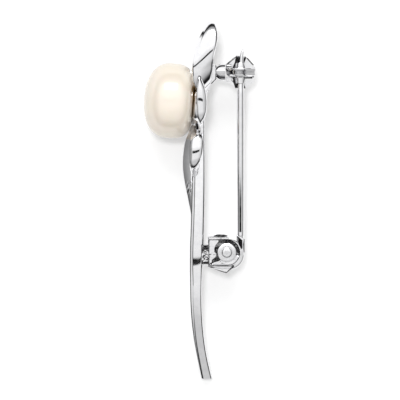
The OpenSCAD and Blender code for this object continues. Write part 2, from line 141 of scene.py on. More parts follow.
NEAR_STRAP = [
    (-0.55, 18.3, 3.5, -0.3, 18.3, 3.5, 0.8, 0.08, 0.04),
    (-0.5, 17.5, 4.28, -0.15, 17.5, 4.26, 0.95, 0.1, 0.08),
    (-0.6, 16.4, 4.6, 0.25, 16.6, 4.5, 1.0, 0.12, 0.1),
    (-0.65, 15.3, 4.71, 0.6, 15.5, 4.55, 1.0, 0.12, 0.12),
    (-0.65, 14.2, 4.73, 0.79, 14.2, 4.54, 1.0, 0.12, 0.12),
    (-0.6, 13.1, 4.6, 0.76, 13.0, 4.43, 1.0, 0.12, 0.12),
    (-0.53, 12.0, 4.28, 0.54, 11.9, 4.18, 1.0, 0.12, 0.1),
    (-0.4, 11.1, 3.6, 0.12, 11.1, 3.6, 0.9, 0.1, 0.08),
    (-0.35, 10.4, 2.55, -0.05, 10.4, 2.55, 0.8, 0.08, 0.04),
    (-0.4, 9.9, 1.5, -0.1, 9.9, 1.5, 0.7, 0.08, 0.04),
]


def linear(hex_colour):
    """An sRGB hex colour as linear red, green, blue and alpha."""
    parts = [int(hex_colour[i:i + 2], 16) / 255 for i in (1, 3, 5)]
    return tuple(c / 12.92 if c <= 0.04045 else ((c + 0.055) / 1.055) ** 2.4 for c in parts) + (1.0,)


# A colour mix node's sockets by place: its two colours, and its result.
MIX_A = 6
MIX_B = 7
MIX_RESULT = 2


def add_node(tree, kind, inputs=None, **settings):
    """Adds a node with its settings. An input is a value, a socket, or a node for its first output."""
    node = tree.nodes.new("ShaderNode" + kind)
    for name, value in settings.items():
        setattr(node, name, value)
    for key, value in (inputs or {}).items():
        if isinstance(value, bpy.types.Node):
            value = value.outputs[0]
        if isinstance(value, bpy.types.NodeSocket):
            tree.links.new(value, node.inputs[key])
        else:
            node.inputs[key].default_value = value
    return node


def new_material(name):
    """An empty node material and its tree."""
    material = bpy.data.materials.new(name)
    material.use_nodes = True
    tree = material.node_tree
    tree.nodes.clear()
    return material, tree


def ramp(tree, factor, stops):
    """A colour ramp through (position, hex colour) stops."""
    node = add_node(tree, "ValToRGB", {"Fac": factor})
    elements = node.color_ramp.elements
    while len(elements) < len(stops):
        elements.new(1.0)
    for element, (position, colour) in zip(elements, stops):
        element.position = position
        element.color = linear(colour)
    return node


def per_mm(size_mm):
    """The texture scale, in metres, at which a pattern repeats every size_mm."""
    return 1.0 / (size_mm * MM)


def bump_layers(tree, layers):
    """The normal under stacked noise bumps: (grain in mm, height in mm, detail, stretch along x y z)."""
    place = add_node(tree, "TexCoord")
    normal = None
    for grain, height, detail, stretch in layers:
        spread = add_node(tree, "Mapping", {"Vector": place.outputs["Object"], "Scale": stretch})
        grit = add_node(tree, "TexNoise", {"Vector": spread, "Scale": per_mm(grain), "Detail": detail})
        inputs = {"Height": grit, "Distance": height * MM, "Strength": 1.0}
        if normal:
            inputs["Normal"] = normal
        normal = add_node(tree, "Bump", inputs)
    return normal


# Where the strands cross, and beside the hinge's pad, the wheel couldn't reach and the casting's own skin is
# left: x, y, w and reach of each spot. The skin is at its full depth in the inner share of the reach.
CROSSINGS = [(-0.6, 11.0, 1.0, 2.2), (-0.9, 4.3, 1.4, 1.3), (-1.3, 2.2, -1.2, 1.5)]
PAD_SPOTS = [(0.6, -7.7, 0.5, 1.2)]
SPOT_CORE = 0.7
CAST_GRAIN = 0.55
CAST_DEPTH = 0.05
# Painted shade: crevices found within this distance are painted darker.
PAINTED_SHADE_REACH = 0.8
# A bump's stretch where it is the same along x, y and z.
EVEN = (1.0, 1.0, 1.0)


def near_spots(tree, spots):
    """A socket that is 1 close to any of the spots, and 0 beyond their reach."""
    place = add_node(tree, "TexCoord")
    nearest = 0.0
    for x, y, w, reach in spots:
        centre = Vector((x, y, MID_Z + w)) * MM
        away = add_node(tree, "VectorMath", {0: place.outputs["Object"], 1: centre}, operation="DISTANCE")
        share = add_node(tree, "MapRange",
                         {"Value": away.outputs["Value"], "From Min": reach * SPOT_CORE * MM,
                          "From Max": reach * MM, "To Min": 1.0, "To Max": 0.0},
                         interpolation_type="SMOOTHSTEP")
        nearest = add_node(tree, "Math", {0: share, 1: nearest}, operation="MAXIMUM")
    return nearest


def metal(name, looks, layers, duller=0.0, grain=0.8, spread=0.03, unpolished=()):
    """A bare metal: its tone and gloss wander over a grain in mm, and shade is painted dark into its
    crevices.
    """
    material, tree = new_material(name)
    place = add_node(tree, "TexCoord")
    wander = add_node(tree, "TexNoise",
                      {"Vector": place.outputs["Object"], "Scale": per_mm(grain), "Detail": 2.0})
    roughness = looks.polish + duller
    gloss = add_node(tree, "MapRange",
                     {"Value": wander, "From Min": 0.3, "From Max": 0.7,
                      "To Min": roughness - spread / 2, "To Max": roughness + spread / 2})
    tone = ramp(tree, wander, [(0.35, looks.silver_dark), (0.65, looks.silver_light)])
    # Painted shade: ambient occlusion mixes the plate towards a dark tone in crevices and corners.
    depth = add_node(tree, "AmbientOcclusion", {"Distance": PAINTED_SHADE_REACH * MM}, samples=6)
    unshaded_share = add_node(tree, "MapRange",
                          {"Value": depth.outputs["AO"], "From Min": 0.25, "From Max": 0.7})
    plate = add_node(tree, "Mix", {0: unshaded_share, MIX_A: linear(looks.silver_crevice), MIX_B: tone},
                     data_type="RGBA")
    normal = bump_layers(tree, layers)
    if unpolished:
        grit = add_node(tree, "TexNoise",
                        {"Vector": place.outputs["Object"], "Scale": per_mm(CAST_GRAIN), "Detail": 1.0})
        normal = add_node(tree, "Bump", {"Height": grit, "Distance": CAST_DEPTH * MM,
                                         "Strength": near_spots(tree, unpolished), "Normal": normal})
    shader = add_node(tree, "BsdfPrincipled", {"Base Color": plate.outputs[MIX_RESULT], "Metallic": 1.0,
                                               "Roughness": gloss, "Normal": normal})
    add_node(tree, "OutputMaterial", {"Surface": shader})
    return material


# Rhodium plate over hand-polished silver: a cold white mirror whose reflections bend a little.
def rhodium_polished(looks):
    return metal("rhodium_polished", looks, [(3.2, 0.006, 1.0, EVEN), (0.3, 0.0004, 1.0, (1.0, 0.3, 1.0))],
                 unpolished=CROSSINGS)


# Rhodium plate over small castings: as bright, but dimpled, so it breaks reflections into spots.
def rhodium_cast(looks):
    return metal("rhodium_cast", looks, [(1.0, 0.017, 1.0, EVEN), (0.32, 0.0042, 1.0, EVEN)],
                 duller=0.01, grain=0.5, spread=0.04, unpolished=PAD_SPOTS)


# Rhodium plate over turned findings: bright, with faint soft dents.
def rhodium_turned(looks):
    return metal("rhodium_turned", looks, [(1.3, 0.014, 1.0, EVEN)], grain=0.5, spread=0.04)


# Rhodium plate over a peened rivet: whiter and softer than the rest, as no wheel has touched it.
def rhodium_tumbled(looks):
    return metal("rhodium_tumbled", looks, [(0.6, 0.006, 1.0, EVEN)], duller=0.24, grain=0.4, spread=0.06)


# Hard white wire, drawn and polished: faint draw lines along the pin stretch its reflections.
def steel_drawn(looks):
    return metal("steel_drawn", looks, [(0.35, 0.0006, 1.0, (1.0, 0.02, 1.0)), (4.0, 0.002, 0.0, EVEN)],
                 duller=-0.02)


# The golden-brown painted shade on the pearl's back, where it sits in the cup's gap, starts at the first x
# and is full at the second.
GAP_SHADE_FROM = -1.55
GAP_SHADE_FULL = -1.1


# Nacre of a freshwater pearl: a deep soft lustre over ivory, warmer at a slant and faintly rose.
def nacre(looks):
    material, tree = new_material("nacre")
    place = add_node(tree, "TexCoord")
    cloud = add_node(tree, "TexNoise",
                     {"Vector": place.outputs["Object"], "Scale": per_mm(4.5), "Detail": 2.0})
    body = ramp(tree, cloud,
                [(0.3, "#dad7d2"), (0.45, looks.pearl_body), (0.58, looks.pearl_rose), (0.72, "#d8d7d2")])
    spot = add_node(tree, "SeparateXYZ", {"Vector": place.outputs["Object"]})
    # Painted shade: the pearl's back is tinted golden brown towards the cup, for the shade in the gap between
    # them.
    gap_shade = add_node(tree, "MapRange",
                     {"Value": spot.outputs["X"], "From Min": GAP_SHADE_FROM * MM, "From Max": GAP_SHADE_FULL * MM},
                     interpolation_type="SMOOTHSTEP")
    skin = add_node(tree, "Mix", {0: gap_shade, MIX_A: body, MIX_B: linear(looks.pearl_stain)}, data_type="RGBA")
    shader = add_node(tree, "BsdfPrincipled",
                      {"Base Color": skin.outputs[MIX_RESULT], "Metallic": 0.0, "Roughness": 0.3,
                       "IOR": 1.53, "Subsurface Weight": 0.1, "Subsurface Radius": (1.0, 0.75, 0.55),
                       "Subsurface Scale": 0.8 * MM, "Coat Weight": 0.8, "Coat Roughness": 0.11,
                       "Coat IOR": 1.9, "Coat Tint": linear(looks.pearl_slant),
                       "Normal": bump_layers(tree, [(2.6, 0.01, 1.0, EVEN)])})
    add_node(tree, "OutputMaterial", {"Surface": shader})
    return material


# The table's glow falls off between these distances from its middle.
GLOW_NEAR = 45.0
GLOW_FAR = 180.0


# Opal acrylic lit from below: matt and white, and shadows on it stay soft and pale.
def opal_acrylic(looks):
    material, tree = new_material("opal_acrylic")
    place = add_node(tree, "TexCoord")
    cloud = add_node(tree, "TexNoise",
                     {"Vector": place.outputs["Object"], "Scale": per_mm(60.0), "Detail": 2.0})
    tone = ramp(tree, cloud, [(0.3, "#bababa"), (0.7, "#bebebe")])
    reach = add_node(tree, "VectorMath", {0: place.outputs["Object"]}, operation="LENGTH")
    glow = add_node(tree, "MapRange",
                    {"Value": reach.outputs["Value"], "From Min": GLOW_NEAR * MM, "From Max": GLOW_FAR * MM,
                     "To Min": looks.table_glow, "To Max": looks.table_glow / 4},
                    interpolation_type="SMOOTHSTEP")
    shader = add_node(tree, "BsdfPrincipled",
                      {"Base Color": tone, "Roughness": 0.9,
                       "Emission Color": linear("#ffffff"), "Emission Strength": glow})
    add_node(tree, "OutputMaterial", {"Surface": shader})
    return material


def finish_of(maker, looks):
    """The material of a maker function, made once."""
    return bpy.data.materials.get(maker.__name__) or maker(looks)


def clean(mesh):
    """Welds doubled points and turns the faces outwards."""
    build = bmesh.new()
    build.from_mesh(mesh)
    bmesh.ops.remove_doubles(build, verts=build.verts, dist=WELD)
    bmesh.ops.recalc_face_normals(build, faces=build.faces)
    build.to_mesh(mesh)
    build.free()


def add_object(name, data):
    """Adds an object with its data to the scene."""
    thing = bpy.data.objects.new(name, data)
    bpy.context.scene.collection.objects.link(thing)
    return thing


def raw_object(name, shape):
    """A plain object, in millimetres, from (points, faces)."""
    mesh = bpy.data.meshes.new(name)
    mesh.from_pydata([tuple(point) for point in shape[0]], [], shape[1])
    clean(mesh)
    return add_object(name, mesh)


def place_piece(name, shape, maker, looks, edits=(), extras=(), sharp=32.0):
    """Makes a piece in metres: edits are (boolean operation, shape), and extras are let in after them."""
    draft = raw_object(name, shape)
    tools = []
    for operation, tool_shape in edits:
        tool = raw_object("tool", tool_shape)
        tools.append(tool)
        cut = draft.modifiers.new("edit", "BOOLEAN")
        cut.operation, cut.object, cut.solver, cut.use_self = operation, tool, "EXACT", True
    mesh = bpy.data.meshes.new_from_object(draft.evaluated_get(bpy.context.evaluated_depsgraph_get()))
    if not mesh.polygons:
        raise RuntimeError(f"{name} came out empty")
    if extras:
        inlay = raw_object("inlay", join_shapes(*extras))
        tools.append(inlay)
        build = bmesh.new()
        build.from_mesh(mesh)
        build.from_mesh(inlay.data)
        build.to_mesh(mesh)
        build.free()
    mesh.shade_smooth()
    mesh.set_sharp_from_angle(angle=math.radians(sharp))
    for spare in [draft] + tools:
        bpy.data.objects.remove(spare)
    mesh.transform(Matrix.Scale(MM, 4) @ Matrix.Translation((0.0, 0.0, MID_Z)))
    mesh.materials.clear()
    mesh.materials.append(finish_of(maker, looks))
    mesh.name = name
    return add_object(name, mesh)


def carry(piece, body, slot, *nodes):
    """Puts a piece on its body, in place of the solids that it stands for. Its material slot is not used."""
    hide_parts(*nodes)
    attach(piece, body)


def join_shapes(*shapes):
    """Several (points, faces) as one."""
    verts, faces = [], []
    for points, sides in shapes:
        faces += [[i + len(verts) for i in side] for side in sides]
        verts += list(points)
    return verts, faces


def loft(rings):
    """A closed skin through rings of equal length, with a flat face at each end."""
    count = len(rings[0])
    verts = [point for ring in rings for point in ring]
    last = len(verts) - count
    faces = []
    for start in range(0, last, count):
        for j in range(count):
            after = (j + 1) % count
            faces.append([start + j, start + after, start + count + after, start + count + j])
    faces.append(list(range(count)))
    faces.append([last + j for j in reversed(range(count))])
    return verts, faces


# The least divisor at a corner of a moved outline, which keeps a sharp corner from running away.
CORNER_LEAST = 0.3


def inset(outline, depth):
    """A flat outline, drawn anticlockwise, moved inwards."""
    moved = []
    for i, point in enumerate(outline):
        before, after = outline[i - 1], outline[(i + 1) % len(outline)]
        sides = [Vector((a[0], a[1])) for a in (before, point, after)]
        first, second = (sides[1] - sides[0]).normalized(), (sides[2] - sides[1]).normalized()
        normals = Vector((-first.y, first.x)) + Vector((-second.y, second.x))
        moved.append(sides[1] + normals * depth / max(normals.length_squared / 2, CORNER_LEAST))
    return moved


def relief(outline, levels, at=(0.0, 0.0)):
    """A plate with a stepped surface: levels are (inset, height) from its back edge to its middle."""
    return loft([[Vector((x + at[0], y + at[1], height)) for x, y in inset(outline, depth)]
                 for depth, height in levels])


def slanting(corners, height, slope, levels, at):
    """A plate that slants along y: corners from a point, the height beside that point, and its levels."""
    return loft([[Vector((x + at.x, y + at.y, height + slope * y + level)) for x, y in inset(corners, depth)]
                 for depth, level in levels])


def mirrored(shape):
    """The same shape on the other side of the middle plane."""
    return [Vector((x, y, -w)) for x, y, w in shape[0]], [list(reversed(side)) for side in shape[1]]


def prism(outline, low, high, matrix=None):
    """A flat outline drawn out from one height to another."""
    verts, faces = loft([[Vector((x, y, height)) for x, y in outline] for height in (low, high)])
    return ([matrix @ v for v in verts] if matrix else verts), faces


def rectangle(x0, y0, x1, y1):
    return [(x0, y0), (x1, y0), (x1, y1), (x0, y1)]


def arc(radius, start, end, steps, centre_x=0.0):
    """Points on a circle between two angles in degrees."""
    angles = [math.radians(start + (end - start) * i / steps) for i in range(steps + 1)]
    return [(centre_x + radius * math.cos(a), radius * math.sin(a)) for a in angles]


def lathe(profile, matrix, segments=96, reshape=None):
    """A body turned round z through (radius, height) points that start and end on the axis."""
    verts, rings = [], []
    for radius, height in profile:
        if radius < SAME:
            rings.append([len(verts)])
            verts.append(matrix @ Vector((0.0, 0.0, height)))
            continue
        rings.append(list(range(len(verts), len(verts) + segments)))
        for k in range(segments):
            angle = 2 * math.pi * k / segments
            point = Vector((radius * math.cos(angle), radius * math.sin(angle), height))
            verts.append(matrix @ (reshape(point) if reshape else point))
    faces = []
    for low, high in zip(rings, rings[1:]):
        for k in range(segments):
            after = (k + 1) % segments
            if len(low) == 1:
                faces.append([low[0], high[k], high[after]])
            elif len(high) == 1:
                faces.append([low[k], high[0], low[after]])
            else:
                faces.append([low[k], high[k], high[after], low[after]])
    return verts, faces


# How far a tool that cuts a piece reaches, past all of it.
FAR = 4.0


def bore(radius, matrix):
    """A round tool that drills a hole along z."""
    return lathe([(0.0, -FAR), (radius, -FAR), (radius, FAR), (0.0, FAR)], matrix, 48)


def blend_rows(a, b, c, d, t):
    """A smooth curve's row between b and c."""
    return [0.5 * (2 * q + (r - p) * t + (2 * p - 5 * q + 4 * r - s) * t * t
                   + (3 * q - p - 3 * r + s) * t ** 3) for p, q, r, s in zip(a, b, c, d)]


def smooth_rows(table, steps, passes):
    """Rows between a table's stations, eased so that reflections run on without a kink."""
    last = len(table) - 1
    rows = [blend_rows(table[max(i - 1, 0)], table[i], table[i + 1], table[min(i + 2, last)], k / steps)
            for i in range(last) for k in range(steps)] + [list(table[last])]
    for _ in range(passes):
        rows = [rows[0]] + [[(p + 2 * q + r) / 4 for p, q, r in zip(rows[i - 1], rows[i], rows[i + 1])]
                            for i in range(1, len(rows) - 1)] + [rows[-1]]
    return rows


# The narrow front: a step down from the face, a flat that leans, and a cut along its edge, as (depth, side).
FRONT_STEP = (0.1, 0.08)
FRONT_LEAN = math.tan(math.radians(22.0))
FRONT_CUT = (0.12, 0.105)
# A front narrower than the first has a smaller step and cut, and one wider than the second leans less.
FULL_FRONT = 0.3
NARROW_FRONT = 0.45
# The flat has a point more at these shares of its width, so that it shades flat.
FLAT_ENDS = (0.05, 0.95)
FACE_STEPS = 8
# The cut along the back's corners, as (depth, side) from the corner.
BACK_CUT = [(0.2, 0.0), (0.185, 0.008), (0.012, 0.15), (0.0, 0.17)]
# Where the ribbon is thin the cut shrinks to these shares for each mm of its depth and of its half thickness.
THIN_CUT = (1.2, 2.4)
# How far the edges of a strand's ends are cut.
END_CUT = 0.1


def ribbon_section(depth, half, front_width, swell):
    """The ribbon cut across, as (depth, side): a leaning narrow front, swelling faces and a cut back."""
    share, calm = min(1.0, front_width / FULL_FRONT), min(1.0, (NARROW_FRONT / front_width) ** 2)
    step, cut = [part * share for part in FRONT_STEP], [part * share for part in FRONT_CUT]
    step[1] *= calm
    flat_side = half - step[1] - (front_width - step[0] - cut[0]) * FRONT_LEAN * calm
    inner, outer = Vector((front_width - step[0], half - step[1])), Vector((cut[0], flat_side))
    near = [(front_width, half), inner, *(inner.lerp(outer, way) for way in FLAT_ENDS), outer,
            (0.0, flat_side - cut[1])]
    span = depth - front_width - BACK_CUT[0][0]
    face = [(front_width + span * i / FACE_STEPS, half + swell * (1 - (2 * i / FACE_STEPS - 1) ** 2))
            for i in range(1, FACE_STEPS)]
    back_share = min(1.0, depth * THIN_CUT[0], half * THIN_CUT[1])
    face += [(depth - u * back_share, half - v * back_share) for u, v in BACK_CUT]
    side = near[::-1] + face
    return side + [(u, -v) for u, v in reversed(side)]


def ribbon(table, steps=8, passes=10):
    """A strand of the ribbon through a table's stations."""
    rows = smooth_rows(table, steps, passes)
    middles = [(Vector(row[0:3]) + Vector(row[3:6])) / 2 for row in rows]
    rings = []
    for i, row in enumerate(rows):
        front, back = Vector(row[0:3]), Vector(row[3:6])
        ahead = (middles[min(i + 1, len(rows) - 1)] - middles[max(i - 1, 0)]).normalized()
        across = (back - front).normalized()
        side = ahead.cross(across).normalized()
        section = ribbon_section((back - front).length, row[6] / 2 - row[8] / 2, row[7], row[8])
        rings.append([front + across * point[0] + side * point[1] for point in section])
    for end, step in ((0, 1), (len(rings) - 1, -1)):
        outer = rings[end]
        centre = sum(outer, Vector()) / len(outer)
        inward = (sum(rings[end + step], Vector()) / len(outer) - centre).normalized()
        rings[end] = [point + inward * END_CUT for point in outer]
        cap = [point + (centre - point).normalized() * END_CUT for point in outer]
        rings.insert(end if step > 0 else end + 1, cap)
    return loft(rings)


# Pearl: radius, depth from its girdle to the front and back, and how square each side is, where 2 is round.
PEARL_R = 5.3
PEARL_FRONT = 3.55
PEARL_BACK = 3.6
FRONT_POWER = 2.25
BACK_POWER = 3.3
HOLE_R = 0.5
HOLE_END = -1.1
# How far its skin departs from a turned one, the waves of that to the mm, and where its noise starts.
GROWTH_HEIGHT = 0.05
GROWTH_WAVES = 0.22
GROWTH_START = Vector((3.1, 0.4, 7.7))


def pearl_axis():
    """Turns shapes drawn round z, with their back at +z, onto the pearl's own axis."""
    return (Matrix.Translation(PEARL_AT) @ Matrix.Rotation(-PEARL_TILT, 4, "Z")
            @ Matrix.Rotation(math.radians(90.0), 4, "Y"))


def bulge(radius, full, depth, power):
    """Depth of a superellipse at a radius."""
    return depth * max(0.0, 1 - (radius / full) ** power) ** (1 / power)


def pearl_profile(steps=36):
    """The pearl cut through its axis: the drilled hole, the flatter back, the girdle and the domed front."""
    back = [PEARL_R * math.sin(math.pi / 2 * i / steps) for i in range(steps + 1)]
    profile = [(0.0, HOLE_END), (HOLE_R, HOLE_END)]
    profile += [(q, bulge(q, PEARL_R, PEARL_BACK, BACK_POWER)) for q in back if q > HOLE_R]
    profile += [(q, -bulge(q, PEARL_R, PEARL_FRONT, FRONT_POWER)) for q in reversed(back[:-1])]
    return profile


def grown(point):
    """Lets a grown pearl depart a little from a turned one."""
    return point * (1 + noise.noise(point * GROWTH_WAVES + GROWTH_START) * GROWTH_HEIGHT / PEARL_R)


# Cup, behind the pearl: its back, its lip's crest and rim, the gap under the pearl, and the peg.
CUP_R = 3.4
CUP_DEPTH = 1.43
CUP_LIP_R = 3.15
CUP_RIM_R = 3.0
CUP_SHOULDER = 0.4
LIP_CREST = 0.02
SEAT_GAP = 0.14
PEG_R = 0.42
PEG_END = -0.9
PEG_CUT = 0.05
SEAT_STEPS = 8
CUP_STEPS = 40
# How square its back is at top and bottom, and how much squarer at the sides.
CUP_POWER = 2.2
CUP_SIDE_POWER = 4.0


def seat(radius):
    """The cup's seat behind the pearl at a radius."""
    return bulge(radius, PEARL_R, PEARL_BACK, BACK_POWER) + SEAT_GAP


def cup_shoulder():
    """Where the cup's back starts to turn in."""
    return seat(CUP_LIP_R) + CUP_SHOULDER


def cup_profile():
    """The cup cut through its axis: the peg, the seat under the pearl, the thin lip and the back."""
    profile = [(0.0, PEG_END), (PEG_R - PEG_CUT, PEG_END), (PEG_R, PEG_END + PEG_CUT), (PEG_R, seat(PEG_R))]
    steps = [CUP_RIM_R * i / SEAT_STEPS for i in range(2, SEAT_STEPS + 1)]
    profile += [(radius, seat(radius)) for radius in steps]
    profile += [((CUP_RIM_R + CUP_LIP_R) / 2, seat(CUP_LIP_R) - LIP_CREST), (CUP_LIP_R, seat(CUP_LIP_R))]
    turns = [math.pi / 2 * i / CUP_STEPS for i in range(CUP_STEPS)]
    profile += [(CUP_R * math.cos(a), cup_shoulder() + CUP_DEPTH * math.sin(a)) for a in turns]
    return profile + [(0.0, cup_shoulder() + CUP_DEPTH)]


def squarer_sides(point):
    """Fills the cup's back out towards both sides, where it stays flat before it turns under."""
    start = cup_shoulder()
    radius = math.hypot(point.x, point.y)
    if point.z <= start + SAME or radius < SAME:
        return point
    power = CUP_POWER + CUP_SIDE_POWER * (point.x / radius) ** 2
    angle = math.asin(min((point.z - start) / CUP_DEPTH, 1.0))
    scale = (math.cos(angle) ** power + math.sin(angle) ** power) ** (-1 / power)
    width = CUP_R * math.cos(angle) * scale / radius
    return Vector((point.x * width, point.y * width, start + CUP_DEPTH * math.sin(angle) * scale))


# Hinge: outlines from the rivet's centre, but the pad's as it lies on the brooch. Levels are (inset, height).
EAR_R = 1.95
EAR_LEFT = -2.67
EAR_LEVELS = [(0.0, 0.625), (0.0, 1.15), (0.03, 1.195), (0.06, 1.225), (0.14, 1.225), (0.17, 1.2),
              (0.2, 1.12), (0.23, 1.09), (0.95, 1.09)]
ROOF = [(-2.67, 1.97), (0.1, 2.11), (0.1, 2.38), (-0.4, 2.56), (-2.37, 2.56), (-2.67, 2.26)]
ROOF_LEVELS = [(0.09, -1.2), (0.0, -1.11), (0.0, 1.11), (0.03, 1.17), (0.09, 1.2)]
PAD = rectangle(0.0, -8.95, 1.05, -6.1)
PAD_LEVELS = [(0.12, -1.2), (0.0, -1.08), (0.0, 1.02), (0.04, 1.08), (0.09, 1.14)]
# The bent lip on each side of the pin's eye.
LIP = [(-2.7, -1.98), (-1.75, -2.36), (-0.8, -2.72), (-0.05, -2.93), (0.55, -2.42), (1.05, -2.02),
       (0.9, -1.75), (-2.5, -1.75)]
LIP_LEVELS = [(0.2, 0.62), (0.0, 0.72), (0.0, 0.81), (0.22, 0.98), (0.23, 0.985)]
# Low faces on the ear, roof and lip that rise a little towards the tail: corners, and height at the rivet.
LANDS = [
    ([(-2.5, -1.6), (-2.14, -1.38), (-2.08, -1.05), (-1.6, -0.66), (-1.42, -0.25), (-1.74, 0.1),
      (-1.74, 0.62), (-1.55, 1.05), (-1.15, 1.52), (-1.2, 1.88), (-2.5, 1.88)], 1.15),
    ([(-2.12, -1.72), (0.8, -1.74), (1.3, -1.36), (1.66, -0.7), (1.55, -0.4), (1.15, -0.35),
      (0.85, -0.85), (0.0, -1.15), (-0.85, -0.98), (-1.15, -1.2), (-1.85, -1.36)], 1.15),
    ([(-2.55, 1.82), (0.3, 1.88), (0.2, 2.15), (-2.55, 2.15)], 1.3),
    ([(-2.35, -2.16), (-1.6, -2.24), (-0.6, -2.38), (0.3, -2.36), (-0.05, -2.72),
      (-0.75, -2.55)], 0.97),
]
LAND_LEVELS = [(0.0, -0.12), (0.0, -0.04), (0.04, 0.0)]
LAND_SLOPE = -0.03
# The oval on the roof: x, y, half its length and half its width.
OVAL = (-0.93, 2.36, 1.0, 0.2)
OVAL_LEVELS = [(0.0, 1.0), (0.0, 1.215)]


def hinge_details():
    """What stands on the bracket: the lips, the roof's oval and the low faces."""
    at = (RIVET.x, RIVET.y)
    lip = relief(LIP, LIP_LEVELS, at)
    x, y, length, width = OVAL
    oval = [(x + length * u, y + width * v) for u, v in arc(1.0, 0.0, 351.0, 39)]
    lands = [slanting(*face, LAND_SLOPE, LAND_LEVELS, RIVET) for face in LANDS]
    return [lip, mirrored(lip), relief(oval, OVAL_LEVELS, at)] + lands


def hinge_shape():
    """The bracket: two ears, the roof between them and the pad on the stem."""
    at = (RIVET.x, RIVET.y)
    outline = [(EAR_LEFT, -EAR_R)] + arc(EAR_R, -90.0, 90.0, 40) + [(EAR_LEFT, EAR_R)]
    ear = relief(outline, EAR_LEVELS, at)
    return join_shapes(ear, mirrored(ear), relief(ROOF, ROOF_LEVELS, at), relief(PAD, PAD_LEVELS))


# Half the rivet, as (radius, height): the shank, the head's slanting face, a groove and a domed end.
RIVET_HEAD = [(0.5, 0.0), (0.5, 1.275), (1.27, 1.275), (1.31, 1.3), (1.31, 1.37), (1.27, 1.4),
              (0.86, 1.458), (0.82, 1.45), (0.76, 1.45), (0.72, 1.475), (0.66, 1.53), (0.58, 1.585),
              (0.44, 1.622), (0.24, 1.632), (0.0, 1.635)]
RIVET_BORE = 0.53


# Catch body: a web in the loop's crotch, a round neck with a raised rim, and the open ring.
WEB = [(0.2, 15.4), (0.85, 16.2), (1.5, 16.7), (2.1, 17.3), (2.1, 19.3), (1.5, 19.5), (0.7, 17.8),
       (0.1, 16.4)]
WEB_LEVELS = [(0.1, -1.1), (0.0, -1.0), (0.0, 1.0), (0.1, 1.1)]
NECK_LEFT = 1.72
NECK_R = 1.2
NECK_RISE = 0.03
NECK_END = 3.38
# What is drawn past the neck's end and then cut off.
NECK_SPARE = 0.6
NECK_LEVELS = [(0.0, 0.8), (0.06, 0.9), (0.19, 0.9), (0.37, 0.74), (0.38, 0.1)]
# The rounded bar along the neck's floor: cut across, as y and height, and its ends.
NECK_BAR = [(0.86, 0.6), (0.54, 0.61), (0.39, 0.7), (0.36, 0.71), (0.09, 0.72), (0.06, 0.71),
            (-0.62, 0.29), (-0.82, 0.28)]
NECK_BAR_ENDS = (NECK_LEFT + 0.33, NECK_END + 0.02)
# The mouth for the pin, and the ring's slot for the lever between two angles.
MOUTH_HALF = 0.56
MOUTH = rectangle(0.0, -MOUTH_HALF, FAR, MOUTH_HALF)
SLOT = [(0.0, 0.0)] + arc(FAR, 40.0, 176.0, 8)
SLOT_HALF = 0.27


def catch_axis():
    """Turns shapes drawn round z onto the catch's axis: angles run from +x towards the camera's side."""
    return Matrix.Translation(CATCH) @ Matrix.Rotation(math.radians(90.0), 4, "X")


def neck_shape():
    """The neck from its round end to a little past its cut end, the same on both sides."""
    end = NECK_END + NECK_SPARE
    outline = [(end, -NECK_R), (end, NECK_R)] + arc(NECK_R, 90.0, 270.0, 32, NECK_LEFT + NECK_R)
    back = [(depth, -height) for depth, height in reversed(NECK_LEVELS)]
    return relief(outline, back + NECK_LEVELS, (0.0, CATCH.y + NECK_RISE))


def strip(section, ends):
    """A section of y from the catch's centre, and height, drawn along x between two ends."""
    return loft([[Vector((x, CATCH.y + y, height)) for y, height in section] for x in ends])


# The ring cut across, as (radius, way down the pin): a raised edge, a flat, and a broad cut at its lower end.
RING_BORE = 1.57
RING_FLAT = 2.06
RING_SECTION = [(2.1, -0.56), (2.12, -0.51), (2.11, -0.42), (RING_FLAT, -0.35), (RING_FLAT, 0.08),
                (1.92, 0.36), (1.72, 0.56), (RING_BORE, 0.56), (RING_BORE, -0.56)]
# Between the first two angles the cut keeps this share of its depth.
RING_EASED = (78.0, 118.0, 0.62)
RING_SEGMENTS = 96


def ring_shape():
    """The ring round the catch's axis, before its mouth and slot are cut."""
    count = len(RING_SECTION)
    start, end, eased = RING_EASED
    verts, faces = [], []
    for k in range(RING_SEGMENTS):
        turn = catch_axis() @ Matrix.Rotation(2 * math.pi * k / RING_SEGMENTS, 4, "Z")
        share = eased if start < 360.0 * k / RING_SEGMENTS < end else 1.0
        for radius, height in RING_SECTION:
            if height > 0.0 and radius > RING_BORE:
                radius = RING_FLAT - (RING_FLAT - radius) * share
            verts.append(turn @ Vector((radius, 0.0, height)))
        here, following = k * count, (k + 1) % RING_SEGMENTS * count
        for j in range(count):
            after = (j + 1) % count
            faces.append([here + j, here + after, following + after, following + j])
    return verts, faces


# Rotor, as (radius, way down the pin): a drum in the ring, a shoulder and a cone at each end, and a hub.
DRUM_HALF = 0.61
ROTOR = [(0.0, -2.45), (0.66, -2.45), (2.06, -0.99), (2.1, -0.93), (2.1, -DRUM_HALF), (1.5, -DRUM_HALF),
         (1.5, DRUM_HALF), (2.1, DRUM_HALF), (2.1, 1.11), (2.06, 1.16), (0.76, 2.12), (0.0, 2.12)]
HUB = [(0.0, -1.38), (0.66, -1.38), (0.84, -0.75), (0.84, 0.75), (0.68, 1.5), (0.0, 1.5)]
ROTOR_BORE = 0.58
CONE_MOUTH = [(-FAR, 0.0), (0.0, 0.0), (0.0, -MOUTH_HALF), (FAR, -MOUTH_HALF), (FAR, FAR), (-FAR, FAR)]
# The flat faces where the cones are cut, with a slanting edge. Columns: side, way along the pin, reach,
# height of the shoulder and of the end, level of the face, width and drop of the edge.
WINGS = [(-1, 1, 2.1, 1.2, 2.5, 0.06, 0.22, 0.195), (-1, -1, 1.42, 1.13, 2.12, 0.06, 0.2, 0.178),
         (1, 1, 2.05, 0.85, 2.45, -0.57, 0.06, 0.05), (1, -1, 2.02, 1.11, 2.08, -0.57, 0.38, 0.247)]
WING_START = (0.6, 0.45)
WING_DEPTH = 0.4
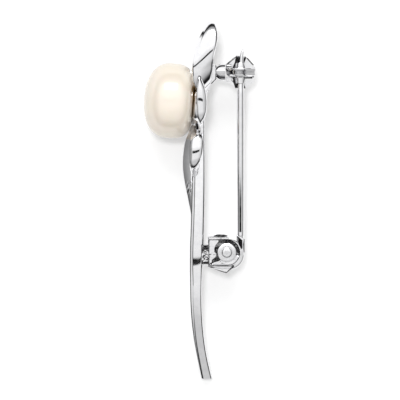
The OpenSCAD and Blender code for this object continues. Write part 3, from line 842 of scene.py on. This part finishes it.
# Narrow faces ground beside the pin: corners from the catch's centre, and height there. They rise up the pin.
CLEARANCES = [
    ([(-1.16, 0.55), (-1.06, 0.92), (-0.95, 1.2), (-0.81, 1.48), (-0.76, 1.88), (-0.62, 2.38),
      (-0.46, 2.38), (-0.46, 1.4), (-0.6, 1.27), (-0.74, 1.06), (-0.82, 0.55)], 0.075),
    ([(-1.35, -0.5), (-1.18, -0.65), (-1.06, -0.95), (-1.08, -1.22), (-0.95, -1.55),
      (-0.84, -1.85), (-0.78, -2.16), (-0.53, -2.16), (-0.53, -1.75), (-0.68, -1.42),
      (-0.84, -0.95), (-0.86, -0.5)], 0.165),
    ([(0.58, 2.3), (0.33, 1.37), (0.52, 1.4), (0.81, 2.19)], -0.62),
    ([(0.22, -1.45), (0.32, -1.9), (0.56, -2.2), (0.74, -2.12), (0.58, -1.85),
      (0.46, -1.5)], -0.46),
    ([(0.4, -0.78), (1.68, -0.78), (1.68, -0.5), (0.4, -0.5)], -0.5),
    ([(0.88, 2.06), (1.0, 2.16), (1.92, 1.14), (1.7, 1.12)], -0.6),
    ([(-1.8, 1.32), (-0.8, 2.17), (-0.72, 2.26), (-1.74, 1.41)], 0.02),
]
CLEARANCE_SLOPE = 0.0425
CLEARANCE_LEVELS = [(0.0, -0.3), (0.0, 0.0)]
# Strips that carry on the neck's edges over the drum: cut across, as y and height, and their ends.
CHEEKS = [[(0.58, 0.0), (0.58, 0.08), (0.88, 0.08), (1.05, 0.23), (1.08, 0.235), (1.21, 0.235), (1.23, 0.0)],
          [(-0.58, 0.0), (-1.17, 0.0), (-1.15, 0.1), (-0.58, 0.1)]]
CHEEK_ENDS = (CATCH.x - 2.12, CATCH.x - 1.32)
# The lever's slices, a stem and the three layers of its head: inner and outer radius, low and high.
LEVER = [(1.2, 2.38, -0.22, 0.22), (2.28, 2.95, -0.12, 0.12), (2.28, 3.1, -0.45, -0.12),
         (2.28, 3.0, 0.12, 0.45)]
LEVER_ANGLES = (49.0, 75.0)


def lever_slice(inner, outer, low, high):
    """A slice of the lever, with a flat end and a round foot."""
    start, end = LEVER_ANGLES
    return prism(arc(outer, start, end, 1) + arc(inner, end, start, 8), low, high, catch_axis())


def wing_shape(side, way, reach, shoulder, end, level, width, drop):
    """One cut face of the rotor, from the hub out to the cone's edge."""
    x0, y0 = WING_START
    length = math.hypot(1.0, (end - shoulder) / (reach - x0))
    rings = []
    for depth, height in [(0.0, -WING_DEPTH - drop), (0.0, -drop), (width, 0.0)]:
        outline = [(x0, y0), (reach, y0), (reach, shoulder - depth * length), (x0, end - depth * length)]
        rings.append([Vector((CATCH.x + side * x, CATCH.y + way * y, level + height)) for x, y in outline])
    return loft(rings)


# Pin: an eccentric eye with slanting faces, a square shank with a slanting shoulder, and the wire.
EYE_AT = Vector((0.3, -0.25, 0.0))
EYE = [(0.0, -0.55), (1.25, -0.55), (1.95, -0.47), (2.08, -0.4), (2.15, -0.28), (2.15, 0.28), (2.08, 0.4),
       (1.95, 0.47), (1.25, 0.55), (0.0, 0.55)]
EYE_HOLE_R = 0.55
SHANK_HALF = 0.55
SHANK_TOP = (-4.7, -5.35)
SHANK_LEVELS = [(0.2, -0.545), (0.0, -0.36), (0.0, 0.28), (0.1, 0.37)]
# Faces on the shank, a level head and a broader slope round it: corners from the wire at the shoulder, height
# there, and rise along the pin. Both are drawn from a height inside the shank.
SHANK_FACES = [([(-0.36, -1.1), (0.12, -2.05), (0.24, -1.85), (0.24, -0.8), (-0.36, -0.25)], 0.535, 0.0),
               ([(-0.45, -0.1), (-0.45, -2.9), (0.45, -2.9), (0.45, -0.58)], 0.52, 0.04)]
SHANK_INSIDE = 0.2
# Wire stations: y, radius, and how far the wire leans to the side.
WIRE = [(-5.6, 0.4, 0.0), (-4.95, 0.42, 0.0), (-4.6, 0.51, 0.0), (-2.0, 0.52, 0.0), (6.0, 0.52, 0.0),
        (14.5, 0.52, 0.0), (16.2, 0.45, 0.02), (18.5, 0.38, 0.05), (20.0, 0.3, 0.1), (20.8, 0.27, 0.17),
        (21.35, 0.17, 0.27), (21.63, 0.05, 0.34)]
WIRE_SIDES = 48


def pin_shape():
    """The pin before its eye is drilled."""
    eye = lathe(EYE, Matrix.Translation(RIVET + EYE_AT))
    x0, x1 = PIN_X - SHANK_HALF, PIN_X + SHANK_HALF
    shank = relief([(x0, RIVET.y), (x1, RIVET.y), (x1, SHANK_TOP[1]), (x0, SHANK_TOP[0])], SHANK_LEVELS)
    shoulder = Vector((PIN_X, SHANK_TOP[0]))
    heads = [slanting(corners, top, slope, [(0.0, SHANK_INSIDE - top), (0.0, 0.0)], shoulder)
             for corners, top, slope in SHANK_FACES]
    turns = [2 * math.pi * k / WIRE_SIDES for k in range(WIRE_SIDES)]
    wire = loft([[Vector((PIN_X + lean + radius * math.cos(a), y, radius * math.sin(a))) for a in turns]
                 for y, radius, lean in smooth_rows(WIRE, steps=4, passes=1)])
    return join_shapes(eye, shank, wire, *heads)


class BroochLooks(bpy.types.PropertyGroup):
    """Colours and polish of the brooch"""

    polish: FloatProperty(name="Polish", description="Roughness of the hand-polished plate",
                          default=0.06, min=0.02, max=0.4)
    silver_light: StringProperty(name="Plate, light", description="Lighter tone of the rhodium plate",
                                 default="#f2f2f3")
    silver_dark: StringProperty(name="Plate, dark", description="Darker tone of the rhodium plate",
                                default="#ececee")
    # Painted shade: the dark tone painted into crevices and corners, where shade falls.
    silver_crevice: StringProperty(name="Plate, crevices", description="Tone of the plate deep in crevices",
                                   default="#4c4c50")
    pearl_body: StringProperty(name="Pearl body", description="Ivory body colour of the pearl",
                               default="#d8d4cd")
    pearl_rose: StringProperty(name="Pearl overtone", description="Rose overtone of the pearl",
                               default="#dad4d0")
    # Painted shade: golden brown painted on the pearl's back for the shade in its gap with the cup.
    pearl_stain: StringProperty(name="Pearl stain", description="Golden brown of its skin beside the cup",
                                default="#a8803c")
    pearl_slant: StringProperty(name="Pearl slant", description="Tone the nacre takes seen at a slant",
                                default="#fbf4e8")


class StudioLooks(bpy.types.PropertyGroup):
    """The light and the table"""

    table_glow: FloatProperty(name="Table glow", description="Light that the table itself gives",
                              default=0.36, min=0.0, max=1.0)
    sky: FloatProperty(name="Tent light", description="Strength of the white tent's light",
                       default=1.0, min=0.1, max=4.0)
    fill: FloatProperty(name="Fill light", description="Power of the white sheet below the brooch's tail",
                        subtype="POWER", unit="POWER", default=0.6, min=0.0, max=10.0)
    lamp: FloatProperty(name="Lamp", description="Power of the small lamp that draws the close shadows",
                        subtype="POWER", unit="POWER", default=1.05, min=0.0, max=10.0)
    key: FloatProperty(name="Key light", description="Power of the softbox above the brooch's top end",
                       subtype="POWER", unit="POWER", default=1.1, min=0.0, max=10.0)


class BROOCH_OT_ribbon(bpy.types.Operator):
    """Builds the twisted ribbon with its loops and its long stem, and the pearl's cup"""

    bl_idname = "brooch.ribbon"
    bl_label = "Ribbon and cup"

    def execute(self, context):
        looks = context.scene.brooch_looks
        tables = (LONG_RIBBON, FRONT_STRAND, NEAR_STRAND, NEAR_STRAP)
        strands = join_shapes(*[ribbon(table) for table in tables])
        carry(place_piece("silver_ribbon", strands, rhodium_polished, looks), "brooch", "silver", "frame")
        cup = lathe(cup_profile(), pearl_axis(), 128, squarer_sides)
        carry(place_piece("pearl_cup", cup, rhodium_polished, looks), "brooch", "silver", "frame")
        return {"FINISHED"}


class BROOCH_OT_pearl(bpy.types.Operator):
    """Builds the button pearl, drilled for its peg"""

    bl_idname = "brooch.pearl"
    bl_label = "Pearl"

    def execute(self, context):
        looks = context.scene.brooch_looks
        pearl = lathe(pearl_profile(), pearl_axis(), 128, grown)
        carry(place_piece("button_pearl", pearl, nacre, looks, sharp=60.0), "brooch", "pearl", "pearl")
        return {"FINISHED"}


class BROOCH_OT_hinge(bpy.types.Operator):
    """Builds the hinge bracket and its rivet"""

    bl_idname = "brooch.hinge"
    bl_label = "Hinge"

    def execute(self, context):
        looks = context.scene.brooch_looks
        hole = bore(RIVET_BORE, Matrix.Translation(RIVET))
        bracket = place_piece("hinge_bracket", hinge_shape(), rhodium_cast, looks, [("DIFFERENCE", hole)],
                              hinge_details())
        carry(bracket, "brooch", "silver", "frame")
        profile = [(radius, -height) for radius, height in reversed(RIVET_HEAD)] + RIVET_HEAD[1:]
        rivet = lathe(profile, Matrix.Translation(RIVET))
        rivet = place_piece("hinge_rivet", rivet, rhodium_tumbled, looks, sharp=40.0)
        carry(rivet, "brooch", "silver", "hinge_rivet")
        return {"FINISHED"}


class BROOCH_OT_pin(bpy.types.Operator):
    """Builds the pin: its eye on the rivet, its square shank and its pointed wire"""

    bl_idname = "brooch.pin"
    bl_label = "Pin"

    def execute(self, context):
        looks = context.scene.brooch_looks
        hole = bore(EYE_HOLE_R, Matrix.Translation(RIVET))
        pin = place_piece("pin", pin_shape(), steel_drawn, looks, [("DIFFERENCE", hole)])
        carry(pin, "pin", "pin_steel", "pin_stem")
        return {"FINISHED"}


class BROOCH_OT_catch(bpy.types.Operator):
    """Builds the catch: its web, neck and open ring, and the rotor that turns in the ring"""

    bl_idname = "brooch.catch"
    bl_label = "Catch"

    def execute(self, context):
        looks = context.scene.brooch_looks
        axis = catch_axis()
        web = place_piece("catch_web", relief(WEB, WEB_LEVELS), rhodium_cast, looks)
        carry(web, "brooch", "silver", "frame")
        keep = prism(rectangle(-FAR, CATCH.y - FAR, NECK_END, CATCH.y + FAR), -FAR, FAR)
        bar = strip(NECK_BAR + [(y, -height) for y, height in reversed(NECK_BAR)], NECK_BAR_ENDS)
        neck = place_piece("catch_neck", neck_shape(), rhodium_turned, looks, [("INTERSECT", keep)], [bar],
                           sharp=25.0)
        carry(neck, "brooch", "silver", "frame")
        edits = [("DIFFERENCE", prism(MOUTH, -FAR, FAR, axis)),
                 ("DIFFERENCE", prism(SLOT, -SLOT_HALF, SLOT_HALF, axis))]
        ring = place_piece("catch_ring", ring_shape(), rhodium_turned, looks, edits)
        carry(ring, "brooch", "silver", "frame")

        edits = [("DIFFERENCE", prism(CONE_MOUTH, DRUM_HALF, FAR, axis)),
                 ("DIFFERENCE", prism(CONE_MOUTH, -FAR, -DRUM_HALF, axis)),
                 ("UNION", lathe(HUB, axis, 64))]
        edits += [("UNION", lever_slice(*layer)) for layer in LEVER]
        edits += [("DIFFERENCE", prism(MOUTH, -FAR, FAR, axis)), ("DIFFERENCE", bore(ROTOR_BORE, axis))]
        details = [wing_shape(*wing) for wing in WINGS]
        details += [slanting(*face, CLEARANCE_SLOPE, CLEARANCE_LEVELS, CATCH) for face in CLEARANCES]
        details += [strip(section, CHEEK_ENDS) for section in CHEEKS]
        rotor = place_piece("catch_rotor", lathe(ROTOR, axis), rhodium_turned, looks, edits, details)
        carry(rotor, "rotor", "silver", "catch_rotor")
        return {"FINISHED"}


# The tent's light by direction: axis, the range in which it changes, and its strength before and after.
TENT = [("Y", 0.02, 0.22, 0.93, 1.16), ("Y", -0.62, -0.36, 0.7, 1.0), ("Y", 0.62, 0.86, 1.0, 0.55),
        ("Z", 0.22, 0.58, 0.03, 1.0), ("X", -0.88, -0.6, 0.3, 1.0), ("X", 0.25, 0.85, 1.0, 0.6)]
# The narrow gap overhead, in the same columns, and how much of the light it takes.
TENT_GAP = [("Y", -0.078, -0.062, 0.0, 1.0), ("Y", -0.002, 0.014, 1.0, 0.0),
            ("X", -0.66, -0.58, 0.0, 1.0), ("X", 0.36, 0.48, 1.0, 0.0)]
GAP_SHARE = 0.99


def tent_world(looks):
    """A white light tent: brightest towards the top end, with a narrow gap overhead, and dark low down."""
    world = bpy.data.worlds.new("light_tent")
    bpy.context.scene.world = world
    world.use_nodes = True
    tree = world.node_tree
    tree.nodes.clear()
    place = add_node(tree, "TexCoord")
    way = add_node(tree, "SeparateXYZ", {"Vector": place.outputs["Generated"]})

    def shaded(light, zones):
        """The light times its strength in each zone."""
        for axis, low, high, start, end in zones:
            zone = add_node(tree, "MapRange",
                            {"Value": way.outputs[axis], "From Min": low, "From Max": high,
                             "To Min": start, "To Max": end}, interpolation_type="SMOOTHSTEP")
            light = add_node(tree, "Math", {0: light, 1: zone}, operation="MULTIPLY")
        return light

    open_part = add_node(tree, "Math", {0: 1.0, 1: shaded(GAP_SHARE, TENT_GAP)}, operation="SUBTRACT")
    strength = add_node(tree, "Math", {0: shaded(looks.sky, TENT), 1: open_part}, operation="MULTIPLY")
    shade = add_node(tree, "Background", {"Color": linear("#ffffff"), "Strength": strength})
    add_node(tree, "OutputWorld", {"Surface": shade})


# Half the table's width in metres.
TABLE_HALF = 3.0


class BROOCH_OT_stage(bpy.types.Operator):
    """Builds the pale table, the light tent, the softbox and the camera straight above the brooch"""

    bl_idname = "brooch.stage"
    bl_label = "Table, light and camera"

    def execute(self, context):
        looks = context.scene.brooch_studio
        context.scene.view_settings.view_transform = "Standard"
        data = bpy.data.cameras.new("camera")
        data.sensor_width = SENSOR
        data.lens = SENSOR * EYE_HEIGHT / VIEW_WIDTH
        data.clip_start, data.clip_end = 0.01, 20.0
        camera = add_object("camera", data)
        camera.location = (VIEW_CENTRE.x * MM, VIEW_CENTRE.y * MM, (MID_Z + EYE_HEIGHT) * MM)
        context.scene.camera = camera

        table = bpy.data.meshes.new("table")
        build = bmesh.new()
        bmesh.ops.create_grid(build, x_segments=8, y_segments=8, size=TABLE_HALF)
        build.to_mesh(table)
        build.free()
        table.materials.append(finish_of(opal_acrylic, looks))
        floor = add_object("table", table)

        tent_world(looks)
        # name, width and length in metres, power, place in metres, and whether metal mirrors it
        for name, width, length, power, place, mirrored_in_metal in (
                ("softbox", 0.3, 0.16, looks.key, (-0.02, 0.36, 0.38), True),
                ("fill", 0.5, 0.5, looks.fill, (-0.05, -0.5, 0.3), False),
                ("lamp", 0.06, 0.06, looks.lamp, (-0.035, 0.06, 0.45), False)):
            light = bpy.data.lights.new(name, "AREA")
            light.shape, light.size, light.size_y, light.energy = "RECTANGLE", width, length, power
            lamp = add_object(name, light)
            lamp.location = place
            lamp.rotation_mode = "QUATERNION"
            lamp.rotation_quaternion = lamp.location.to_track_quat("Z", "Y")
            lamp.visible_glossy = mirrored_in_metal
        return {"FINISHED"}


class BROOCH_PT_panel(bpy.types.Panel):
    """Lists the brooch's pieces and looks"""

    bl_idname = "BROOCH_PT_panel"
    bl_label = "Pearl Brooch"
    bl_space_type = "VIEW_3D"
    bl_region_type = "UI"
    bl_category = "Brooch"

    def draw(self, context):
        layout = self.layout
        for group in (context.scene.brooch_looks, context.scene.brooch_studio):
            for name in group.bl_rna.properties.keys():
                if name not in ("rna_type", "name"):
                    layout.prop(group, name)
        for operator in OPERATORS:
            layout.operator(operator.bl_idname)


OPERATORS = (BROOCH_OT_stage, BROOCH_OT_ribbon, BROOCH_OT_pearl, BROOCH_OT_hinge, BROOCH_OT_pin,
             BROOCH_OT_catch)
CLASSES = (BroochLooks, StudioLooks) + OPERATORS + (BROOCH_PT_panel,)


def register():
    for cls in CLASSES:
        bpy.utils.register_class(cls)
    bpy.types.Scene.brooch_looks = PointerProperty(type=BroochLooks)
    bpy.types.Scene.brooch_studio = PointerProperty(type=StudioLooks)


def unregister():
    del bpy.types.Scene.brooch_studio
    del bpy.types.Scene.brooch_looks
    for cls in reversed(CLASSES):
        bpy.utils.unregister_class(cls)


def main():
    register()
    bpy.ops.brooch.stage()
    bpy.ops.brooch.ribbon()
    bpy.ops.brooch.pearl()
    bpy.ops.brooch.hinge()
    bpy.ops.brooch.pin()
    bpy.ops.brooch.catch()


if __name__ == "__main__":
    main()
